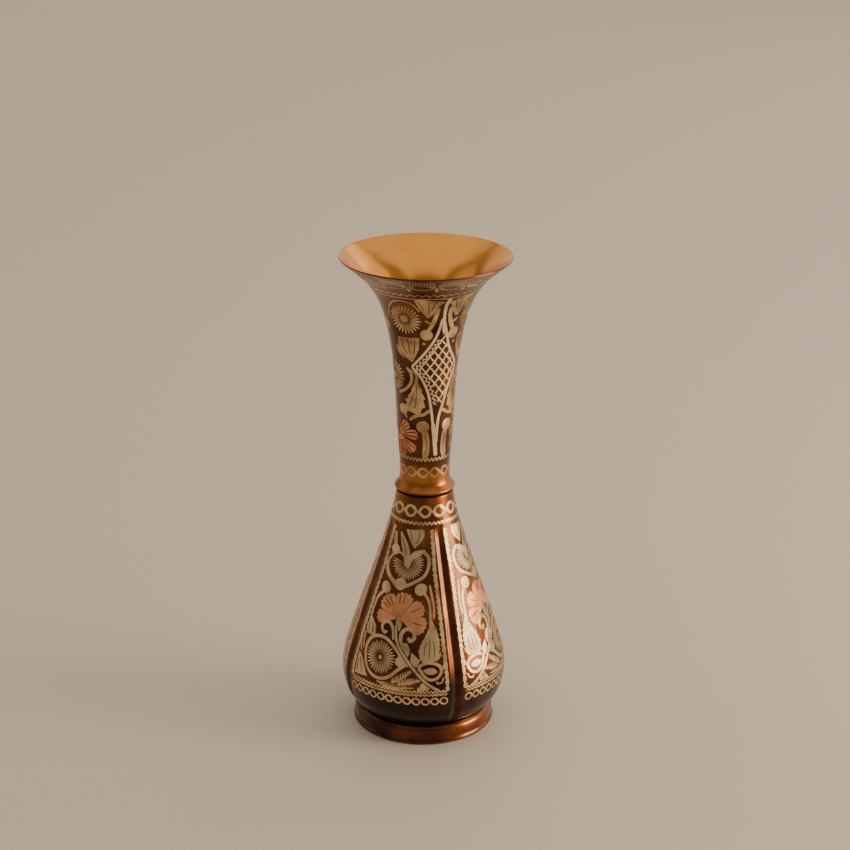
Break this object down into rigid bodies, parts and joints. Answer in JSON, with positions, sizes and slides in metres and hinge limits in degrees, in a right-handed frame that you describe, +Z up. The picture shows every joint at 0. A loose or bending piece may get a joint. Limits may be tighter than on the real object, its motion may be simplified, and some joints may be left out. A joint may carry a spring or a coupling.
{
  "type": "engraved brass vase",
  "caption": "Tall brass vase with a pear-shaped fluted body on a spun foot ring, and a long slender neck that flares to a trumpet mouth, for holding stems or for display.",
  "frame": {"origin": "middle of the foot, on the surface the vase stands on", "axes": "+Z up along the vase's axis; -Y out of the middle of the front panel of the body; the flutes lie on the diagonals between X and Y"},
  "size_m": [0.0852, 0.0852, 0.25],
  "materials": {
    "lacquered_brass": "brown-copper lacquer baked over spun brass, glossy, engraved through to pale tinned metal",
    "bare_brass": "bare spun brass, satin, with fine turning lines",
    "engraved_metal": "pale tinned brass bared by the engraving tool, finely striated",
    "copper_petal": "copper-coloured lacquer with petals cut through it",
    "soft_solder": "soft solder, dull grey and smeared",
    "tarnished_solder": "soft solder stained dark brown by the lacquer"
  },
  "bodies": {
    "root": {"trumpet_neck": "lacquered_brass", "waist_solder": "tarnished_solder", "joint_sleeve": "bare_brass", "body_shell": "lacquered_brass", "base_disc": "bare_brass", "foot_solder": "soft_solder", "foot_ring": "lacquered_brass"}
  },
  "joints": []
}
